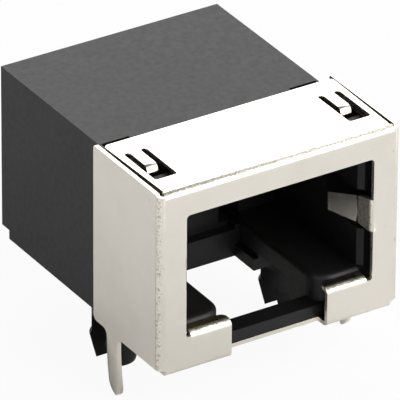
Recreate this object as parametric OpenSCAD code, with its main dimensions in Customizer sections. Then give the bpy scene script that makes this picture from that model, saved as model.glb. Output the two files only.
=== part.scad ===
// Right-angle modular jack for a printed circuit board: eight contacts, latch side down,
// with a folded metal shield over the front of a moulded housing.
// X runs across the port, Y runs back into the jack, Z is up from the board.
// The origin lies on the board, midway between the two locating pegs.

/* [Shield] */
// Width over the two side walls
shield_w = 16; // [15.6:0.1:16.6]
// Height of the top plate's upper face above the board
shield_h = 11.8; // [11.5:0.1:13]
// Thickness of the sheet
sheet_t = 0.25; // [0.2:0.01:0.3]
// Outer radius of every fold
fold_r = 0.4; // [0.35:0.01:0.5]
// Depth of the side walls behind the face
wall_d = 7.1; // [6.8:0.1:8]
// Depth of the top plate behind the face
plate_d = 6.65; // [6.2:0.05:7.5]
// Depth of the bottom flange under the housing
flange_d = 2.8; // [2:0.1:2.9]
// Gap between the board and the lower edge of a side wall
wall_lift = 0.47; // [0.4:0.01:1]
// Slit between the top plate and a side wall, at the front and at the rear
plate_slit = [0.27, 0.12]; // [0.05:0.01:0.4]

/* [Face opening] */
// Width of the opening in the face
opening_w = 12.44; // [12.2:0.02:12.6]
// Height of the opening's top edge above the board
opening_top = 10.1; // [10:0.05:10.4]
// Height of the rolled lips beside the latch notch
lip_z = 2.47; // [2.3:0.01:2.6]
// How far the lips reach back behind the face
lip_d = 0.9; // [0.7:0.05:0.9]
// Width of the latch notch below the opening
notch_w = 6.4; // [6.2:0.05:6.6]

/* [Contact fingers of the shield] */
// Distance between the two fingers at their roots
finger_gap = 12.16; // [12.1:0.02:12.3]
// Lower and upper edge of a finger at its root
finger_z = [5.35, 7.4]; // [5:0.05:8]
// Straight run behind the fold, then the run that leans in to the plug
finger_runs = [1.05, 2.1]; // [0.5:0.05:2.5]
// Lean of a finger towards the plug
finger_lean = 17; // [8:1:20]
// Height of a finger at its tip
finger_tip = 1.1; // [0.8:0.05:1.6]

/* [Retaining lances of the top plate] */
// Distance of each lance from the middle of the jack
lance_x = 6.43; // [6.3:0.01:6.5]
// Width of the U-shaped cut-out round a lance
lance_window = 1.46; // [1.3:0.02:1.5]
// Width of a lance
lance_w = 0.7; // [0.6:0.02:0.9]
// Front edge and rear end of the cut-out behind the face
lance_y = [1.82, 5.25]; // [1.5:0.05:6]
// Where a lance bends down, behind the face
lance_end = 3.65; // [3.2:0.05:4]
// Angle and length of the lance's end, bent down into its pocket
lance_tip = [66, 0.22]; // [0.1:0.01:80]

/* [Solder tabs] */
// Distance of the tabs behind the face
tab_y = 5.08; // [4:0.01:6]
// Width of a tab
tab_w = 1.15; // [1:0.05:1.5]
// Reach of a tab below the board plane
tab_l = 3.65; // [2.8:0.05:3.8]

/* [Housing] */
// Width of the housing
housing_w = 14.6; // [14.4:0.05:14.9]
// Height of the housing's top above the board
housing_top = 11.3; // [11.2:0.05:11.5]
// Distance of the housing's rear face behind the shield's face
housing_rear = 18.45; // [18.2:0.05:20]
// Setback of the housing's front behind the shield's face
housing_front = 0.95; // [0.95:0.01:1.2]
// Clearance between the housing's underside and the board
underside = 0.3; // [0.28:0.01:0.5]
// Thickness of the roof over the contact insert
roof_t = 0.55; // [0.45:0.05:0.7]
// Thickness of the side walls beside the contact insert
side_t = 1.05; // [0.9:0.05:1.2]
// Height and depth of the step along the rear lower edge
rear_step = [0.58, 0.8]; // [0.4:0.02:1]

/* [Plug port] */
// Width of the plug cavity
port_w = 11.84; // [11.76:0.02:11.98]
// Height of the plug cavity's floor above the board
port_floor = 2.7; // [2.6:0.05:2.75]
// Height of the plug cavity
port_h = 7; // [6.9:0.05:7.1]
// Depth of the plug cavity behind the face
port_d = 9.9; // [9.5:0.1:10.2]
// Width of the latch slot in the cavity's floor
slot_w = 6.2; // [6.1:0.05:6.3]
// Depth of the latch slot behind the face
slot_d = 9.2; // [8.9:0.1:9.3]
// Height of the slot's end wall above the board
slot_end_top = 2.05; // [1.8:0.05:2.2]
// Rear edge and height of the bar across the front of the slot
bar = [2.2, 1.05]; // [1:0.05:2.6]

/* [Locating pegs] */
// Distance between the two pegs
peg_pitch = 11.43; // [11.43:0.01:11.43]
// Distance of the pegs behind the shield's face
peg_setback = 8.35; // [8.2:0.05:8.6]
// Diameter of a peg's shank
peg_d = 2.84; // [2.7:0.02:3.2]
// Reach of a peg below the board plane
peg_l = 3.36; // [3:0.02:3.5]
// Diameter over the barb that snaps under the board
barb_d = 3.1; // [3:0.02:3.4]
// Depth of the barb's edge below the board plane
barb_z = 1.71; // [1.65:0.01:1.9]
// Reach of the slot that splits a peg, in front of the peg's middle and behind it
peg_slot = [0.85, 0.55]; // [0.4:0.05:0.9]

/* [Contacts] */
// Number of contacts
contact_n = 8; // [8:1:8]
// Spacing of the contacts in the port
contact_pitch = 1.02; // [1.02:0.01:1.02]
// Spacing of neighbouring tails across the jack
tail_pitch = 1.27; // [1.27:0.01:1.27]
// Distance of the two rows of tails behind the pegs
tail_rows = [6.35, 8.89]; // [6.35:0.01:8.89]
// Width of a contact strip
contact_w = 0.45; // [0.4:0.01:0.5]
// Thickness of a contact strip
contact_t = 0.3; // [0.25:0.01:0.32]
// Reach of the tails below the board plane
tail_l = 2.6; // [2.3:0.1:3.4]
// Slope of the spring beams below the horizontal
beam_slope = 18; // [14:1:20]
// Length of the straight part of a spring beam
beam_l = 7.5; // [6.5:0.1:7.6]

/* [Hidden] */
$fn = 64;
// Running clearance between moulded pieces
fit = 0.05;
// Clearance between the shield and the ribs that carry it
shield_fit = 0.02;
// Overshoot of a cutting shape past the face it cuts
past = 1;
// Lap of two shapes that join, so that they never only touch
lap = 0.01;

// Radius of the corners of the opening in the face
opening_corner = 0.25;
// Radii of a side wall's lower and upper rear corners
wall_corner = [0.4, 0.15];
// Distance of a side wall's upper edge below the top plate's face
wall_drop = 0.04;
// How much lower the fold beside the face ends than the side wall
fold_drop = 0.1;
// Radius of the top plate's rear corners
plate_corner = 0.3;
// Radius of a lip's free corner
lip_corner = 0.4;
// Outer end of a lip
lip_end = opening_w / 2 - 0.34;
// Radius of the relief that parts a lip from the face
relief_r = 0.19;
// Distance of that relief's centre below the lip's upper face
relief_drop = 0.05;
// Outer fold radius of a finger, tighter than the others
finger_fold = 0.3;
// Inner radius of the bend that leans a finger in
finger_bend = 0.6;
// Inner radius of the bend at a lance's end
lance_bend = 0.08;
// Radius of a lance's round nose
lance_nose_r = 0.4;
// Radius of the two slots' round ends beside a lance
lance_slot_r = (lance_window - lance_w) / 4;
// Radius of the bow that leans a solder tab inwards
tab_bow = 27;
// Radius of the two arcs that meet in a tab's point
tab_point = 0.9;
// Radius of the fillets at a tab's root
tab_root = 0.4;
// Facets of the bow, whose radius is large
bow_fn = 360;
// Distance of the bottom flange's ends from the flat of the face
flange_inset = 0.1;

// Height of the plug cavity's ceiling above the board
port_top = port_floor + port_h;
// Height of the rear chamber's ceiling above the board
chamber_top = housing_top - roof_t;
// Front of the chamber behind the plug cavity's end wall
chamber_y = port_d + 1.3;
// Half width of the chamber
chamber_hw = housing_w / 2 - side_t;
// Half width of the channel for the insert's arm
channel_hw = contact_pitch * contact_n / 2 + 0.27;
// Front of the channel for the insert's arm
channel_y = 1.6;
// Side rails of the arm: how far they stand out, and how thick they are
rail = [0.45, 0.45];
// Reach of the tapered lead-in at the plug cavity's mouth
port_lead = 0.3;
// Radius of the latch slot's mouth
slot_lead = 1.2;
// Radius of the latch slot's upper edges
slot_edge = 0.35;
// Rear edge of the full width of the latch slot's floor opening
slot_full_y = 7.15;
// How much narrower the slot's rear part is on each side
slot_inset = 0.3;
// Relief beside the slot, open below: its reach, its front edge and its height
slot_relief = [1.1, 4.2, 1.4];
// Depth of the pockets in the roof that the lances reach into
pocket_depth = 0.75;
// Front and rear edges of those pockets behind the face
pocket_y = [2.95, 7.65];
// How much wider those pockets are than the cut-outs, towards the middle
pocket_side = 0.35;
// Recess in the cavity's side walls that a finger springs into: its clearance behind the
// finger, its rear end, and its margin above and below the finger
recess = [0.34, 4.4, 0.25];
// Ribs on the housing's sides that carry the shield: front edges
rib_y = [1.9, 5.4];
// Length of a rib along the side
rib_l = 0.9;
// Lower and upper end of a rib
rib_z = [1.2, 9];
// Front and rear end of the stand-off under each side wall
standoff_y = [13, 16.2];
// Distance of a stand-off from the outer and the inner face of its side wall
standoff_inset = [0.35, 0.1];
// Height over which a peg widens to its barb
barb_rise = 0.2;
// Share of the barb's radius that is left at a peg's tip
peg_taper = 0.74;
// Distance of the top of a peg's slot below the board plane
peg_slot_z = 0.4;

// Floor of the grooves that carry the contacts
groove_z = chamber_top - contact_t - 0.12;
// Thickness of the arm below those grooves
web_t = 0.33;
// Clearance round a contact in its groove
groove_fit = 0.03;
// Rear end of the grooves under the arm that the spring beams move in
under_groove_y = 7.5;
// Distances of the insert from the rear face, the channel's front and the roof
insert_gap = [0.15, 0.25, 0.02];
// Inner radius of a contact's bend round the arm's nose
nose_r = 0.3;
// Inner radius of a contact's bend down into its tail
tail_r = 0.2;
// Centre of the nose bend behind the face
nose_y = 2.5;
// Front and rear end of the stretch where the contacts fan out to the tails' spacing
fan_y = [4.2, 10.4];
// Free end of a spring beam: inner radius and angle of its bend, then its straight run
beam_toe = [1.5, 20, 0.4];
// Slots in the end wall that guide the beams' ends: height over the floor, depth and clearance
comb = [3.6, 0.8, 0.1];

// Places its children, drawn with Y counted back from the shield's face, in the jack's frame.
module from_face() {
    translate([0, -peg_setback, 0]) children();
}

// Draws its children as given and again mirrored across the middle of the jack.
module both_sides() {
    children();
    mirror([1, 0, 0]) children();
}

// Stands a flat outline in X and Z up on end, with its front at y and its depth behind it.
module upright(y, depth) {
    translate([0, y + depth, 0]) rotate([90, 0, 0]) linear_extrude(depth) children();
}

// Box between two corners.
module box(low, high) {
    translate(low) cube(high - low);
}

// Rectangle between two corners, with all corners rounded.
module round_rect(low, high, r) {
    translate([low[0] + r, low[1]]) square([high[0] - low[0] - 2 * r, high[1] - low[1]]);
    translate([low[0], low[1] + r]) square([high[0] - low[0], high[1] - low[1] - 2 * r]);
    for (x = [low[0] + r, high[0] - r], y = [low[1] + r, high[1] - r])
        translate([x, y]) circle(r);
}

// Cross-section of a fold of outer radius r: a quarter ring in the first quadrant.
module fold_section(r = fold_r) {
    intersection() {
        difference() {
            circle(r);
            circle(r - sheet_t);
        }
        square(r);
    }
}

// Fold that turns the face back into a level plate: it spans x, and z is the plate's outer face.
module level_fold(x, z) {
    translate([x[0], fold_r, z - fold_r])
        rotate([90, 0, 90]) mirror([1, 0, 0]) linear_extrude(x[1] - x[0]) fold_section();
}

// Fold that turns the face back into an upright wall whose outer face is at x.
module upright_fold(x, z) {
    translate([x - fold_r, fold_r, z[0]])
        mirror([0, 1, 0]) linear_extrude(z[1] - z[0]) fold_section();
}

// Strip of metal along +Y, lying on z = 0. Each step is [length, 0] for a straight run or
// [inner radius, angle] for a bend; a positive angle bends it up and a negative one down.
module bent_strip(steps, w, t, i = 0) {
    if (i < len(steps)) {
        size = steps[i][0];
        turn = steps[i][1];
        if (turn == 0) {
            translate([-w / 2, 0, 0]) cube([w, size, t]);
            translate([0, size, 0]) bent_strip(steps, w, t, i + 1);
        } else if (turn > 0) {
            translate([0, 0, t + size]) {
                rotate([0, 90, 0]) rotate_extrude(angle = turn)
                    translate([size, -w / 2]) square([t, w]);
                rotate([turn, 0, 0]) translate([0, 0, -t - size])
                    bent_strip(steps, w, t, i + 1);
            }
        } else {
            flipped = [for (s = steps) [s[0], -s[1]]];
            translate([0, 0, t]) mirror([0, 0, 1]) bent_strip(flipped, w, t, i);
        }
    }
}

// ---- Shield ----

// Outline of the face in X and Z, without its folds.
module face_outline() {
    flat_hw = shield_w / 2 - fold_r;
    difference() {
        translate([-flat_hw, fold_r]) square([2 * flat_hw, shield_h - 2 * fold_r]);
        // plug opening, down to the tops of the lips
        round_rect([-opening_w / 2, lip_z], [opening_w / 2, opening_top], opening_corner);
        // notch for the plug's latch
        translate([-notch_w / 2, -past]) square([notch_w, lip_z + 2 * past]);
        for (side = [-1, 1]) {
            // flat sheet gives way to the lip's fold, with a round relief at its outer end
            lip_mid = side * (notch_w / 2 + lip_end) / 2;
            lip_w = lip_end - notch_w / 2;
            translate([lip_mid - lip_w / 2, lip_z - fold_r]) square([lip_w, 2 * fold_r]);
            translate([side * (opening_w / 2 - relief_r), lip_z - relief_drop]) circle(relief_r);
            // flat sheet gives way to the finger's fold
            translate([side * finger_gap / 2 - finger_fold, finger_z[0]])
                square([2 * finger_fold, finger_z[1] - finger_z[0]]);
        }
    }
}

// Lip beside the latch notch on the +X side, folded back level, with a rounded free corner.
module lip() {
    x = [notch_w / 2, lip_end];
    level_fold(x, lip_z);
    translate([0, 0, lip_z - sheet_t]) linear_extrude(sheet_t) difference() {
        translate([x[0], fold_r]) square([x[1] - x[0], lip_d - fold_r]);
        translate([x[0], lip_d]) mirror([0, 1]) corner_cut(lip_corner);
    }
}

// What is cut off the corner of a rectangle at the origin to round it.
module corner_cut(r) {
    difference() {
        translate([-past, -past]) square(r + past);
        translate([r, r]) circle(r);
    }
}

// Spring finger on the +X side of the opening, folded back and leaning in to the plug.
module finger() {
    h = finger_z[1] - finger_z[0];
    reach = finger_fold + finger_runs[0] + finger_runs[1];
    translate([finger_gap / 2, finger_fold, finger_z[0]]) difference() {
        union() {
            translate([finger_fold, 0, 0]) rotate([0, 0, 180])
                linear_extrude(h) fold_section(finger_fold);
            translate([sheet_t, 0, h / 2]) rotate([0, -90, 0])
                bent_strip([[finger_runs[0], 0], [finger_bend, finger_lean], [finger_runs[1], 0]],
                    h, sheet_t);
        }
        // the upper edge slopes down to the tip
        translate([0, 0, h]) rotate([-atan((h - finger_tip) / reach), 0, 0])
            translate([-reach, 0, 0]) cube([2 * reach, reach + past, h]);
    }
}

// Top plate with its rounded rear corners and the two cut-outs for the lances.
module plate_outline() {
    front_hw = shield_w / 2 - sheet_t - plate_slit[0];
    rear_hw = shield_w / 2 - sheet_t - plate_slit[1];
    difference() {
        polygon([[-front_hw, fold_r], [front_hw, fold_r], [rear_hw, plate_d], [-rear_hw, plate_d]]);
        both_sides() {
            translate([rear_hw, plate_d]) mirror([1, 0]) mirror([0, 1]) corner_cut(plate_corner);
            translate([lance_x, 0]) lance_cut();
        }
    }
}

// U-shaped cut-out round a lance: a window with two round-ended slots back along the lance.
module lance_cut() {
    slot_x = (lance_window + lance_w) / 4;
    window_end = lance_end + lance_bend;
    round_rect([-lance_window / 2, lance_y[0]], [lance_window / 2, window_end + lance_slot_r],
        lance_slot_r);
    for (x = [-slot_x, slot_x]) {
        translate([x - lance_slot_r, window_end])
            square([2 * lance_slot_r, lance_y[1] - lance_slot_r - window_end]);
        translate([x, lance_y[1] - lance_slot_r]) circle(lance_slot_r);
    }
}

// Lance from its root towards the face, level with the plate, with its end bent down.
module lance() {
    root = lance_y[1] - 2 * lance_slot_r;
    translate([lance_x, root, shield_h - sheet_t]) intersection() {
        rotate([0, 0, 180])
            bent_strip([[root - lance_end, 0], [lance_bend, -lance_tip[0]], [lance_tip[1], 0]],
                lance_w, sheet_t);
        // the bent end narrows to a round nose
        upright(-root, root + past) lance_nose();
    }
}

// Outline of a lance seen from the face, with its underside at zero.
module lance_nose() {
    nose_drop = lance_bend + lance_tip[1];
    translate([-lance_w / 2, 0]) square([lance_w, sheet_t]);
    intersection() {
        translate([-lance_w / 2, -nose_drop]) square([lance_w, nose_drop + lap]);
        translate([0, lance_nose_r - nose_drop]) circle(lance_nose_r);
    }
}

// Stands a flat outline in Y and Z up against the +X side, reaching inwards by depth.
module on_side(depth) {
    translate([shield_w / 2, 0, 0]) rotate([90, 0, -90]) mirror([1, 0, 0])
        linear_extrude(depth) children();
}

// Side wall on the +X side, with its lower corner rounded and its solder tab.
module side_wall() {
    top = shield_h - wall_drop;
    on_side(sheet_t)
        difference() {
            translate([fold_r, wall_lift]) square([wall_d - fold_r, top - wall_lift]);
            translate([wall_d, wall_lift]) mirror([1, 0]) corner_cut(wall_corner[0]);
            translate([wall_d, top]) mirror([1, 0]) mirror([0, 1]) corner_cut(wall_corner[1]);
        }
    upright_fold(shield_w / 2, [wall_lift, top - fold_drop]);
    solder_tab();
}

// Solder tab: bowed a little inwards, with fillets at its root and a rounded point.
module solder_tab() {
    hw = tab_w / 2;
    // height of the point above its tip
    rise = sqrt(tab_point * tab_point - (tab_point - hw) * (tab_point - hw));
    intersection() {
        on_side(1) {
            translate([tab_y - hw, rise - tab_l]) square([tab_w, tab_l - rise + wall_lift]);
            intersection() {
                translate([tab_y + tab_point - hw, rise - tab_l]) circle(tab_point);
                translate([tab_y - tab_point + hw, rise - tab_l]) circle(tab_point);
                translate([tab_y - tab_w, -tab_l]) square([2 * tab_w, rise]);
            }
        }
        translate([shield_w / 2 - tab_bow, tab_y + tab_w, 0]) rotate([90, 0, 0])
            linear_extrude(2 * tab_w) difference() {
                circle(tab_bow, $fn = bow_fn);
                circle(tab_bow - sheet_t, $fn = bow_fn);
                translate([-tab_bow, -tab_l - past - 2 * tab_bow]) square(2 * tab_bow);
            }
    }
    on_side(sheet_t) for (side = [-1, 1])
        translate([tab_y + side * hw, wall_lift]) mirror([side < 0 ? 1 : 0, 0]) mirror([0, 1])
            root_fillet();
}

// Fillet at a tab's root, lapping the wall above it and the tab beside it.
module root_fillet() {
    translate([-tab_root / 2, -tab_root / 2]) difference() {
        square(1.5 * tab_root);
        translate([1.5 * tab_root, 1.5 * tab_root]) circle(tab_root);
    }
}

// Bottom flange under the housing's front, cut back behind the latch notch.
module flange() {
    hw = shield_w / 2 - fold_r - flange_inset;
    linear_extrude(sheet_t) difference() {
        translate([-hw, fold_r]) square([2 * hw, flange_d - fold_r]);
        translate([-notch_w / 2, 0]) square([notch_w, housing_front]);
    }
    both_sides() mirror([0, 0, 1]) level_fold([notch_w / 2, hw], 0);
}

module front_shield() {
    flat_hw = shield_w / 2 - fold_r;
    color("gainsboro") from_face() {
        upright(0, sheet_t) face_outline();
        level_fold([-flat_hw, flat_hw], shield_h);
        translate([0, 0, shield_h - sheet_t]) linear_extrude(sheet_t) plate_outline();
        both_sides() {
            lance();
            side_wall();
            finger();
            lip();
        }
        flange();
    }
}

// ---- Housing ----

// Split peg that snaps through the board, on the +X side.
module peg() {
    r = peg_d / 2;
    barb_r = barb_d / 2;
    translate([peg_pitch / 2, peg_setback, 0]) difference() {
        rotate_extrude() polygon([[0, underside + fit], [r, underside + fit],
            [r, barb_rise - barb_z], [barb_r, -barb_z], [peg_taper * barb_r, -peg_l], [0, -peg_l]]);
        box([-barb_r - past, -peg_slot[0], -peg_l - past],
            [barb_r + past, peg_slot[1], -peg_slot_z]);
    }
}

// Plug cavity, latch slot and floor opening.
module port_cut() {
    hw = port_w / 2;
    slot_hw = slot_w / 2;
    rear_hw = slot_hw - slot_inset;
    box([-hw, -past, port_floor], [hw, port_d, port_top]);
    mouth_lead_in();
    // latch slot over the bar, then through the floor behind it
    box([-slot_hw, -past, bar[1]], [slot_hw, slot_d, port_floor + past]);
    box([-slot_hw, bar[0], -past], [slot_hw, slot_full_y, bar[1] + past]);
    box([-rear_hw, slot_full_y - past, -past], [rear_hw, slot_d, bar[1] + past]);
    // relief beside the slot, open below, in front of the pegs
    box([-slot_hw - slot_relief[0], slot_relief[1], -past],
        [slot_hw + slot_relief[0], slot_full_y, slot_relief[2]]);
    // step over the slot's end wall
    box([-rear_hw, slot_d - past, slot_end_top], [rear_hw, port_d, port_floor + past]);
    both_sides() {
        // rounded lead-in corners at the slot's mouth, with the slot's rounded upper edge
        translate([slot_hw, housing_front, 0]) difference() {
            box([-past, -past, bar[1]], [slot_lead, slot_lead, port_floor + past]);
            translate([slot_lead, slot_lead, 0]) rotate_extrude() round_shoulder();
        }
        // the same rounding along the front edge of the cavity's floor
        translate([slot_hw + slot_lead - lap, 0, 0]) rotate([90, 0, 90])
            linear_extrude((port_w - slot_w) / 2 - slot_lead + lap)
            translate([housing_front, port_floor]) mirror([0, 1]) corner_cut(slot_edge);
        // rounded upper edges of the slot
        upright(housing_front + slot_lead - lap, slot_d) translate([slot_hw, port_floor])
            mirror([0, 1]) corner_cut(slot_edge);
    }
}

// Half section of a post whose radius is the slot's lead-in and whose top edge is rounded.
module round_shoulder() {
    square([slot_lead - slot_edge, port_floor]);
    square([slot_lead, port_floor - slot_edge]);
    translate([slot_lead - slot_edge, port_floor - slot_edge]) intersection() {
        circle(slot_edge);
        square(slot_edge);
    }
}

// Tapered lead-in on both sides of the plug cavity's mouth.
module mouth_lead_in() {
    hw = port_w / 2;
    reach = port_lead + past;
    both_sides() between_heights(port_floor, port_top) polygon([[hw - lap, housing_front - past],
        [hw + reach, housing_front - past], [hw - lap, housing_front + port_lead + lap]]);
}

// Extrudes a plan outline from one height to another.
module between_heights(z0, z1) {
    translate([0, 0, z0]) linear_extrude(z1 - z0) children();
}

// Channel for the insert's arm, its rail grooves, and the chamber behind the plug cavity.
module insert_cut() {
    box([-channel_hw, channel_y, port_top - lap], [channel_hw, chamber_y + past, chamber_top]);
    box([-channel_hw - rail[0], channel_y, chamber_top - rail[1] - fit],
        [channel_hw + rail[0], chamber_y + past, chamber_top]);
    box([-chamber_hw, chamber_y, -past], [chamber_hw, housing_rear + past, chamber_top]);
}

// Slots in the end wall that guide the free ends of the contacts.
module comb_cut() {
    hw = contact_w / 2 + comb[2];
    for (i = [0 : contact_n - 1])
        box([front_x(i) - hw, port_d - past, port_floor + comb[0]],
            [front_x(i) + hw, port_d + comb[1], port_top + past]);
}

module housing() {
    hw = housing_w / 2;
    color("dimgray") from_face() {
        difference() {
            union() {
                box([-hw, housing_front, underside], [hw, housing_rear, housing_top]);
                // ribs that carry the shield's side walls
                both_sides() for (y = rib_y)
                    box([hw - side_t / 2, y, rib_z[0]],
                        [shield_w / 2 - sheet_t - shield_fit, y + rib_l, rib_z[1]]);
            }
            port_cut();
            insert_cut();
            comb_cut();
            both_sides() {
                // pocket for the shield's lance
                box([lance_x - lance_window / 2 - pocket_side, pocket_y[0],
                    housing_top - pocket_depth],
                    [lance_x + lance_window / 2, pocket_y[1], housing_top + past]);
                // recess for the shield's finger
                box([port_w / 2 - lap, -past, finger_z[0] - recess[2]],
                    [finger_gap / 2 + sheet_t + recess[0], recess[1], finger_z[1] + recess[2]]);
            }
            // step along the rear lower edge
            box([-hw - past, housing_rear - rear_step[1], -past],
                [hw + past, housing_rear + past, underside + rear_step[0]]);
        }
        both_sides() {
            peg();
            // stand-off under each side wall, level with the flange
            box([chamber_hw + standoff_inset[1], standoff_y[0], 0],
                [hw - standoff_inset[0], standoff_y[1], underside + lap]);
        }
    }
}

// ---- Contacts and their insert ----

// Places of contact i across the jack: in the port, and at its tail.
function front_x(i) = (i - (contact_n - 1) / 2) * contact_pitch;
function tail_x(i) = (i - (contact_n - 1) / 2) * tail_pitch;

// Distance of contact i's tail behind the face; neighbours alternate between the two rows.
function tail_y(i) = peg_setback + tail_rows[i % 2];

// Plan of the stretch where contact i fans out, widened on each side by extra.
module fan_plan(i, extra) {
    hw = contact_w / 2 + extra;
    polygon([[front_x(i) - hw, fan_y[0]], [front_x(i) + hw, fan_y[0]],
        [tail_x(i) + hw, fan_y[1]], [tail_x(i) - hw, fan_y[1]]]);
}

// Grooves in the insert for contact i: along the top, round the nose, and down to its tail.
module contact_groove(i) {
    hw = contact_w / 2 + groove_fit;
    top = chamber_top + past;
    between_heights(groove_z, top) fan_plan(i, groove_fit);
    box([front_x(i) - hw, 0, groove_z], [front_x(i) + hw, fan_y[0] + lap, top]);
    box([tail_x(i) - hw, fan_y[1] - lap, groove_z],
        [tail_x(i) + hw, tail_y(i) + contact_t / 2 + groove_fit, top]);
    box([tail_x(i) - hw, tail_y(i) - contact_t / 2 - groove_fit, -past],
        [tail_x(i) + hw, tail_y(i) + contact_t / 2 + groove_fit, top]);
    // corner under the bend into the tail
    box([tail_x(i) - hw, tail_y(i) - contact_t / 2 - tail_r, groove_z - tail_r],
        [tail_x(i) + hw, tail_y(i), groove_z + lap]);
    // underside of the arm, where the beam springs, and the nose in front of the web
    box([front_x(i) - hw, 0, port_top - past],
        [front_x(i) + hw, under_groove_y, groove_z - web_t]);
    box([front_x(i) - hw, 0, port_top - past], [front_x(i) + hw, nose_y, top]);
}

module contact_insert() {
    hw = chamber_hw - fit;
    arm_hw = channel_hw - fit;
    rear = housing_rear - insert_gap[0];
    front = channel_y + insert_gap[1];
    top = chamber_top - insert_gap[2];
    color("black") from_face() difference() {
        union() {
            box([-hw, chamber_y + fit, underside + fit], [hw, rear, top]);
            box([-arm_hw, front, port_top], [arm_hw, chamber_y + past, top]);
            box([-arm_hw - rail[0] + fit, front, chamber_top - rail[1]],
                [arm_hw + rail[0] - fit, chamber_y + past, top]);
        }
        for (i = [0 : contact_n - 1]) contact_groove(i);
        box([-hw - past, housing_rear - rear_step[1], -past],
            [hw + past, housing_rear, underside + rear_step[0]]);
    }
}

// Contact i: a strip from its free end in the port, round the arm's nose and down to its tail.
module contact(i) {
    color("gold") from_face() {
        // spring beam and nose, drawn from the fan towards the face
        translate([front_x(i), fan_y[0], groove_z]) rotate([0, 0, 180])
            bent_strip([[fan_y[0] - nose_y, 0], [nose_r, beam_slope - 180], [beam_l, 0],
                [beam_toe[0], beam_toe[1]], [beam_toe[2], 0]], contact_w, contact_t);
        between_heights(groove_z, groove_z + contact_t) fan_plan(i, 0);
        // level run and tail
        translate([tail_x(i), fan_y[1], groove_z])
            bent_strip([[tail_y(i) - contact_t / 2 - tail_r - fan_y[1], 0], [tail_r, -90],
                [groove_z - tail_r + tail_l, 0]], contact_w, contact_t);
    }
}

front_shield();
housing();
contact_insert();
contact(0);  // contact_1
contact(1);  // contact_2
contact(2);  // contact_3
contact(3);  // contact_4
contact(4);  // contact_5
contact(5);  // contact_6
contact(6);  // contact_7
contact(7);  // contact_8
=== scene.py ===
import math

import bpy
from mathutils import Matrix, Vector


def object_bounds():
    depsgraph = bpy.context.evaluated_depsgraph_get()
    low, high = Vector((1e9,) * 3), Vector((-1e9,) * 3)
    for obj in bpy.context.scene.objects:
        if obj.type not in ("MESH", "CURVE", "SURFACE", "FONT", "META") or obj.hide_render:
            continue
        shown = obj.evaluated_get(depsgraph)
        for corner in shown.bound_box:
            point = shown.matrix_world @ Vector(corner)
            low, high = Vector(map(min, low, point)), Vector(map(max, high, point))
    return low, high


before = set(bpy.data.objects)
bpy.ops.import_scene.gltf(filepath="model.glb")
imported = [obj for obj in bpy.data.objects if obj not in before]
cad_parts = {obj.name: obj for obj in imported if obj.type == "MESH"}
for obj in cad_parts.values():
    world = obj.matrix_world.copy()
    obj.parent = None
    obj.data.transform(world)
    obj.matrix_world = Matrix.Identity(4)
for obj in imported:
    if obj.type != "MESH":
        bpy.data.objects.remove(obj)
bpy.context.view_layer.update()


# ---- Contacts ----
# Eight spring strips of copper alloy, each stamped, plated with nickel and a flash of gold, and
# bent round the nose of the insert. The free end springs down into the port, and the other end
# runs back over the insert and down through the board.

contact_gold = (0.83, 0.63, 0.30)
contact_worn = (0.70, 0.55, 0.30)
# width of the worn patches, of the polish marks and of the drawn lines, in millimetres
worn_patch = 0.5
polish_mark = 0.15
drawn_line = 0.05
# how deep the drawn lines are, in millimetres, and how much longer than wide
line_depth = 0.004
along_strip = (1, 0.08, 0.08)
contact_roughness = (0.22, 0.36)


def new_finish(name):
    """A material with its tree, its shader, and the place on the piece in millimetres."""
    finish = bpy.data.materials.new(name)
    finish.use_nodes = True
    tree = finish.node_tree
    shader = tree.nodes["Principled BSDF"]
    place = tree.nodes.new("ShaderNodeTexCoord")
    in_mm = tree.nodes.new("ShaderNodeVectorMath")
    in_mm.operation = "SCALE"
    in_mm.inputs["Scale"].default_value = 1000
    tree.links.new(place.outputs["Object"], in_mm.inputs[0])
    return finish, tree, shader, in_mm.outputs["Vector"]


def speckle(tree, place, size, detail=2.0, stretch=(1, 1, 1)):
    """Cloudy noise whose spots are about size millimetres across."""
    stretched = tree.nodes.new("ShaderNodeVectorMath")
    stretched.operation = "MULTIPLY"
    stretched.inputs[1].default_value = [s / size for s in stretch]
    noise = tree.nodes.new("ShaderNodeTexNoise")
    noise.inputs["Scale"].default_value = 1.0
    noise.inputs["Detail"].default_value = detail
    tree.links.new(place, stretched.inputs[0])
    tree.links.new(stretched.outputs["Vector"], noise.inputs["Vector"])
    return noise.outputs["Fac"]


def between(tree, value, low, high, out_low=0.0, out_high=1.0):
    """Maps a value from low..high onto out_low..out_high, and holds it outside."""
    ramp = tree.nodes.new("ShaderNodeMapRange")
    ramp.inputs["From Min"].default_value = low
    ramp.inputs["From Max"].default_value = high
    ramp.inputs["To Min"].default_value = out_low
    ramp.inputs["To Max"].default_value = out_high
    tree.links.new(value, ramp.inputs["Value"])
    return ramp.outputs["Result"]


def blend_colours(tree, amount, first, second):
    """From the first colour to the second. Either may be a colour or a socket."""
    mix = tree.nodes.new("ShaderNodeMix")
    mix.data_type = "RGBA"
    tree.links.new(amount, mix.inputs["Factor"])
    for colour, socket in ((first, mix.inputs[6]), (second, mix.inputs[7])):
        if isinstance(colour, tuple):
            socket.default_value = (*colour, 1)
        else:
            tree.links.new(colour, socket)
    return mix.outputs[2]


def raise_surface(tree, shader, height, depth, under=None):
    """Bumps the surface by a height map whose full range is depth millimetres."""
    bump = tree.nodes.new("ShaderNodeBump")
    bump.inputs["Strength"].default_value = 1.0
    bump.inputs["Distance"].default_value = depth / 1000
    tree.links.new(height, bump.inputs["Height"])
    if under:
        tree.links.new(under, bump.inputs["Normal"])
    tree.links.new(bump.outputs["Normal"], shader.inputs["Normal"])
    return bump.outputs["Normal"]


def coat_node(node, finish):
    """Gives a piece from the frame its finish on every slot."""
    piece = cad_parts[node]
    if not piece.material_slots:
        piece.data.materials.append(finish)
    for held in piece.material_slots:
        held.material = finish
    return piece


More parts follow.
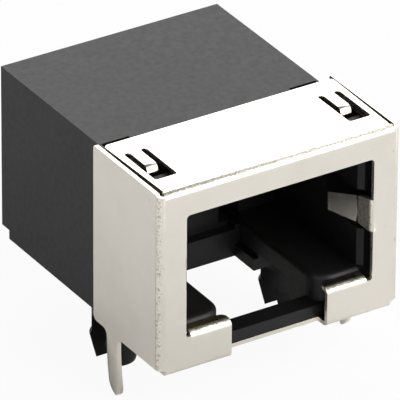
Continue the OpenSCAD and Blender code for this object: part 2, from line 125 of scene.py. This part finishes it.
gold, tree, shader, place = new_finish("gold_flash")
worn = between(tree, speckle(tree, place, worn_patch), 0.4, 0.65)
tree.links.new(blend_colours(tree, worn, contact_gold, contact_worn), shader.inputs["Base Color"])
polished = between(tree, speckle(tree, place, polish_mark), 0.3, 0.7, *contact_roughness)
tree.links.new(polished, shader.inputs["Roughness"])
shader.inputs["Metallic"].default_value = 1.0
raise_surface(tree, shader, speckle(tree, place, drawn_line, stretch=along_strip), line_depth)
for number in range(1, 9):
    coat_node(f"contact_{number}", gold)


# ---- Contact insert ----
# A black moulding that slides into the housing from the rear. Its arm carries the contacts in
# grooves over the port, and its block guides the tails down to the board in two rows.

# size of the cloudy patches and of the gloss marks on a moulding, and depth of its grain, in mm
moulded_cloud = 3.0
gloss_mark = 0.35
grain_depth = 0.0016
moulded_roughness = (0.36, 0.46)
insert_grain = 0.07


def moulded_black(name, colour, grain):
    """Glass-filled black plastic with the fine grain of a spark-eroded mould."""
    finish, tree, shader, place = new_finish(name)
    cloud = between(tree, speckle(tree, place, moulded_cloud, 4.0), 0.3, 0.7)
    lighter = tuple(c * 1.25 + 0.001 for c in colour)
    tree.links.new(blend_colours(tree, cloud, colour, lighter), shader.inputs["Base Color"])
    rough = between(tree, speckle(tree, place, gloss_mark, 5.0), 0.3, 0.7, *moulded_roughness)
    tree.links.new(rough, shader.inputs["Roughness"])
    shader.inputs["IOR"].default_value = 1.5
    shader.inputs["Specular IOR Level"].default_value = 0.27
    raise_surface(tree, shader, speckle(tree, place, grain, 3.0), grain_depth)
    return finish


insert_black = moulded_black("insert_moulding", (0.007, 0.007, 0.0075), insert_grain)
coat_node("contact_insert", insert_black)


# ---- Housing ----
# One black glass-filled moulding with the plug port, the latch slot open to the board, and two
# split pegs that snap into the board. The shield slides over its front.

# grain of the mould and rounding of the moulded edges, in millimetres
housing_grain = 0.08
housing_edge = 0.06


def ease_edges(piece, width, angle=35):
    """Takes the sharpness off a moulded or sheared edge."""
    joined = piece.modifiers.new("joined_faces", "WELD")
    joined.merge_threshold = 1e-6
    eased = piece.modifiers.new("eased_edges", "BEVEL")
    eased.width = width / 1000
    eased.segments = 2
    eased.limit_method = "ANGLE"
    eased.angle_limit = math.radians(angle)
    eased.harden_normals = True
    eased.use_clamp_overlap = True


housing_black = moulded_black("housing_moulding", (0.0085, 0.008, 0.0082), housing_grain)
housing = coat_node("housing", housing_black)
ease_edges(housing, housing_edge)


# ---- Front shield ----
# One thin sheet of plated metal, cut and folded: the face, the top plate with two lances, the
# side walls with a solder tab each, the bottom flange, the lips beside the latch notch and the
# spring fingers. Its plating is bright, and is pitted and rougher along the folds.

plating_light = (0.86, 0.815, 0.73)
plating_dull = (0.76, 0.715, 0.63)
speck_brown = (0.35, 0.32, 0.26)
pit_brown = (0.32, 0.28, 0.20)
plating_roughness = (0.20, 0.27)
# how much rougher the plating is where the sheet was bent
worked_roughness = 0.2
# width of the orange peel on a fold, of the stray specks, the smudges and the waves, in mm
peel_width, peel_depth = 0.14, 0.03
speck_width = 0.20
smudge_width = 1.8
wave_width, wave_depth = 0.6, 0.003
# rounding of the sheared edges
sheared_edge = 0.035

plating, tree, shader, place = new_finish("sheet_plating")
across = tree.nodes.new("ShaderNodeSeparateXYZ")
tree.links.new(place, across.inputs["Vector"])


def times(tree, first, second):
    """Product of two values."""
    product = tree.nodes.new("ShaderNodeMath")
    product.operation = "MULTIPLY"
    for value, socket in ((first, product.inputs[0]), (second, product.inputs[1])):
        if isinstance(value, (int, float)):
            socket.default_value = value
        else:
            tree.links.new(value, socket)
    return product.outputs["Value"]


def both(tree, *values):
    """Product of several values, as an and of masks."""
    result = values[0]
    for value in values[1:]:
        result = times(tree, result, value)
    return result


# the folds lie between the face at y = -8.35 and the walls and plates, which start at -7.95
on_fold = both(tree, between(tree, across.outputs["Y"], -8.33, -8.22),
               between(tree, across.outputs["Y"], -7.98, -7.90, 1.0, 0.0))
# the root of a finger, roughened where it was drawn out of the face
inwards = tree.nodes.new("ShaderNodeMath")
inwards.operation = "ABSOLUTE"
tree.links.new(across.outputs["X"], inwards.inputs[0])
finger_root = both(tree, between(tree, inwards.outputs["Value"], 6.6, 6.7, 1.0, 0.0),
                   between(tree, across.outputs["Y"], -8.30, -8.20),
                   between(tree, across.outputs["Y"], -7.02, -6.96, 1.0, 0.0),
                   between(tree, across.outputs["Z"], 4.0, 4.2),
                   between(tree, across.outputs["Z"], 8.2, 8.4, 1.0, 0.0))
worked = tree.nodes.new("ShaderNodeMath")
worked.operation = "MAXIMUM"
tree.links.new(on_fold, worked.inputs[0])
tree.links.new(finger_root, worked.inputs[1])
worked = worked.outputs["Value"]
peel = speckle(tree, place, peel_width, 3.0)
pits = times(tree, between(tree, peel, 0.52, 0.60), worked)
stray = between(tree, speckle(tree, place, speck_width), 0.71, 0.76)
smudges = times(tree, between(tree, speckle(tree, place, smudge_width, 4.0), 0.48, 0.75), 0.4)
clean = blend_colours(tree, smudges, plating_light, plating_dull)
specked = blend_colours(tree, times(tree, stray, 0.5), clean, speck_brown)
pitted = blend_colours(tree, times(tree, pits, 0.55), specked, pit_brown)
tree.links.new(pitted, shader.inputs["Base Color"])
shader.inputs["Metallic"].default_value = 1.0
even = between(tree, speckle(tree, place, 0.5, 5.0), 0.3, 0.7, *plating_roughness)
rougher = tree.nodes.new("ShaderNodeMath")
rougher.operation = "MULTIPLY_ADD"
rougher.inputs[1].default_value = worked_roughness
tree.links.new(worked, rougher.inputs[0])
tree.links.new(even, rougher.inputs[2])
tree.links.new(rougher.outputs["Value"], shader.inputs["Roughness"])
waviness = raise_surface(tree, shader, speckle(tree, place, wave_width), wave_depth)
raise_surface(tree, shader, times(tree, peel, worked), peel_depth, waviness)
shield = coat_node("front_shield", plating)
ease_edges(shield, sheared_edge)


# ---- Studio ----
# A pale floor under the tips of the tabs, a white room with a darker ceiling, and two large soft
# lamps: one in front to the right, and one behind.

floor_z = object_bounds()[0][2]
floor_mesh = bpy.data.meshes.new("floor")
reach = 3.0
corners = [(x * reach, y * reach, floor_z) for x, y in ((-1, -1), (1, -1), (1, 1), (-1, 1))]
floor_mesh.from_pydata(corners, [], [(0, 1, 2, 3)])
floor = bpy.data.objects.new("floor", floor_mesh)
bpy.context.collection.objects.link(floor)

# how much of the floor's shade the camera doesn't see, so that only a faint shadow is left
floor_white = 0.93
floor_paint = bpy.data.materials.new("floor_paint")
floor_paint.use_nodes = True
tree = floor_paint.node_tree
shader = tree.nodes["Principled BSDF"]
shader.inputs["Base Color"].default_value = (0.82, 0.82, 0.82, 1)
shader.inputs["Roughness"].default_value = 0.9
shader.inputs["Specular IOR Level"].default_value = 0.0
white = tree.nodes.new("ShaderNodeEmission")
rays = tree.nodes.new("ShaderNodeLightPath")
share = tree.nodes.new("ShaderNodeMath")
share.operation = "MULTIPLY"
share.inputs[1].default_value = floor_white
mixed = tree.nodes.new("ShaderNodeMixShader")
tree.links.new(rays.outputs["Is Camera Ray"], share.inputs[0])
tree.links.new(share.outputs["Value"], mixed.inputs["Fac"])
tree.links.new(shader.outputs["BSDF"], mixed.inputs[1])
tree.links.new(white.outputs["Emission"], mixed.inputs[2])
tree.links.new(mixed.outputs["Shader"], tree.nodes["Material Output"].inputs["Surface"])
floor_mesh.materials.append(floor_paint)

room_fill = 0.45
ceiling_grey = (0.22, 0.22, 0.22)
room = bpy.data.worlds.new("room")
bpy.context.scene.world = room
room.use_nodes = True
tree = room.node_tree
fill = tree.nodes["Background"]
fill.inputs["Color"].default_value = (1, 1, 1, 1)
fill.inputs["Strength"].default_value = room_fill
white = tree.nodes.new("ShaderNodeBackground")
walls = tree.nodes.new("ShaderNodeBackground")
way = tree.nodes.new("ShaderNodeTexCoord")
height = tree.nodes.new("ShaderNodeSeparateXYZ")
tree.links.new(way.outputs["Generated"], height.inputs["Vector"])
shade = between(tree, height.outputs["Z"], 0.60, 0.80)
tree.links.new(blend_colours(tree, shade, (1, 1, 1), ceiling_grey), walls.inputs["Color"])
white.inputs["Color"].default_value = (1, 1, 1, 1)
rays = tree.nodes.new("ShaderNodeLightPath")
glossy = tree.nodes.new("ShaderNodeMixShader")
seen = tree.nodes.new("ShaderNodeMixShader")
tree.links.new(rays.outputs["Is Glossy Ray"], glossy.inputs["Fac"])
tree.links.new(fill.outputs["Background"], glossy.inputs[1])
tree.links.new(walls.outputs["Background"], glossy.inputs[2])
tree.links.new(rays.outputs["Is Camera Ray"], seen.inputs["Fac"])
tree.links.new(glossy.outputs["Shader"], seen.inputs[1])
tree.links.new(white.outputs["Background"], seen.inputs[2])
tree.links.new(seen.outputs["Shader"], tree.nodes["World Output"].inputs["Surface"])


jack_middle = Vector((0, 0, 0.005))


def soft_lamp(name, where, size, power):
    """A square soft lamp, aimed at the middle of the jack."""
    light = bpy.data.lights.new(name, "AREA")
    light.size = size
    light.energy = power
    lamp = bpy.data.objects.new(name, light)
    lamp.location = where
    lamp.rotation_euler = (jack_middle - Vector(where)).to_track_quat("-Z", "Y").to_euler()
    bpy.context.collection.objects.link(lamp)


soft_lamp("front_lamp", (0.23, -0.38, 0.25), 0.5, 2.6)
soft_lamp("rear_lamp", (0.23, 0.37, 0.25), 0.5, 1.1)


# ---- Camera ----
# A long lens, from the left of the port's mouth and above it.

turn, rise, tilt = math.radians(32.149), math.radians(29.596), math.radians(0.394)
back = Vector((-math.sin(turn) * math.cos(rise), -math.cos(turn) * math.cos(rise), math.sin(rise)))
right = Vector((math.cos(turn), -math.sin(turn), 0))
up = back.cross(right)
level_right, level_up = right, up
right = level_right * math.cos(tilt) + level_up * math.sin(tilt)
up = level_up * math.cos(tilt) - level_right * math.sin(tilt)
aim = Vector((0, 0.00065, 0.006)) + right * 0.000234 - up * 0.000937
distance = 0.4282
lens = bpy.data.cameras.new("camera")
lens.sensor_width = 36
lens.lens = 675
lens.clip_start = 0.01
camera = bpy.data.objects.new("camera", lens)
facing = Matrix((right, up, back)).transposed().to_4x4()
camera.matrix_world = Matrix.Translation(aim + back * distance) @ facing
bpy.context.collection.objects.link(camera)
bpy.context.scene.camera = camera
bpy.context.scene.view_settings.view_transform = "Standard"
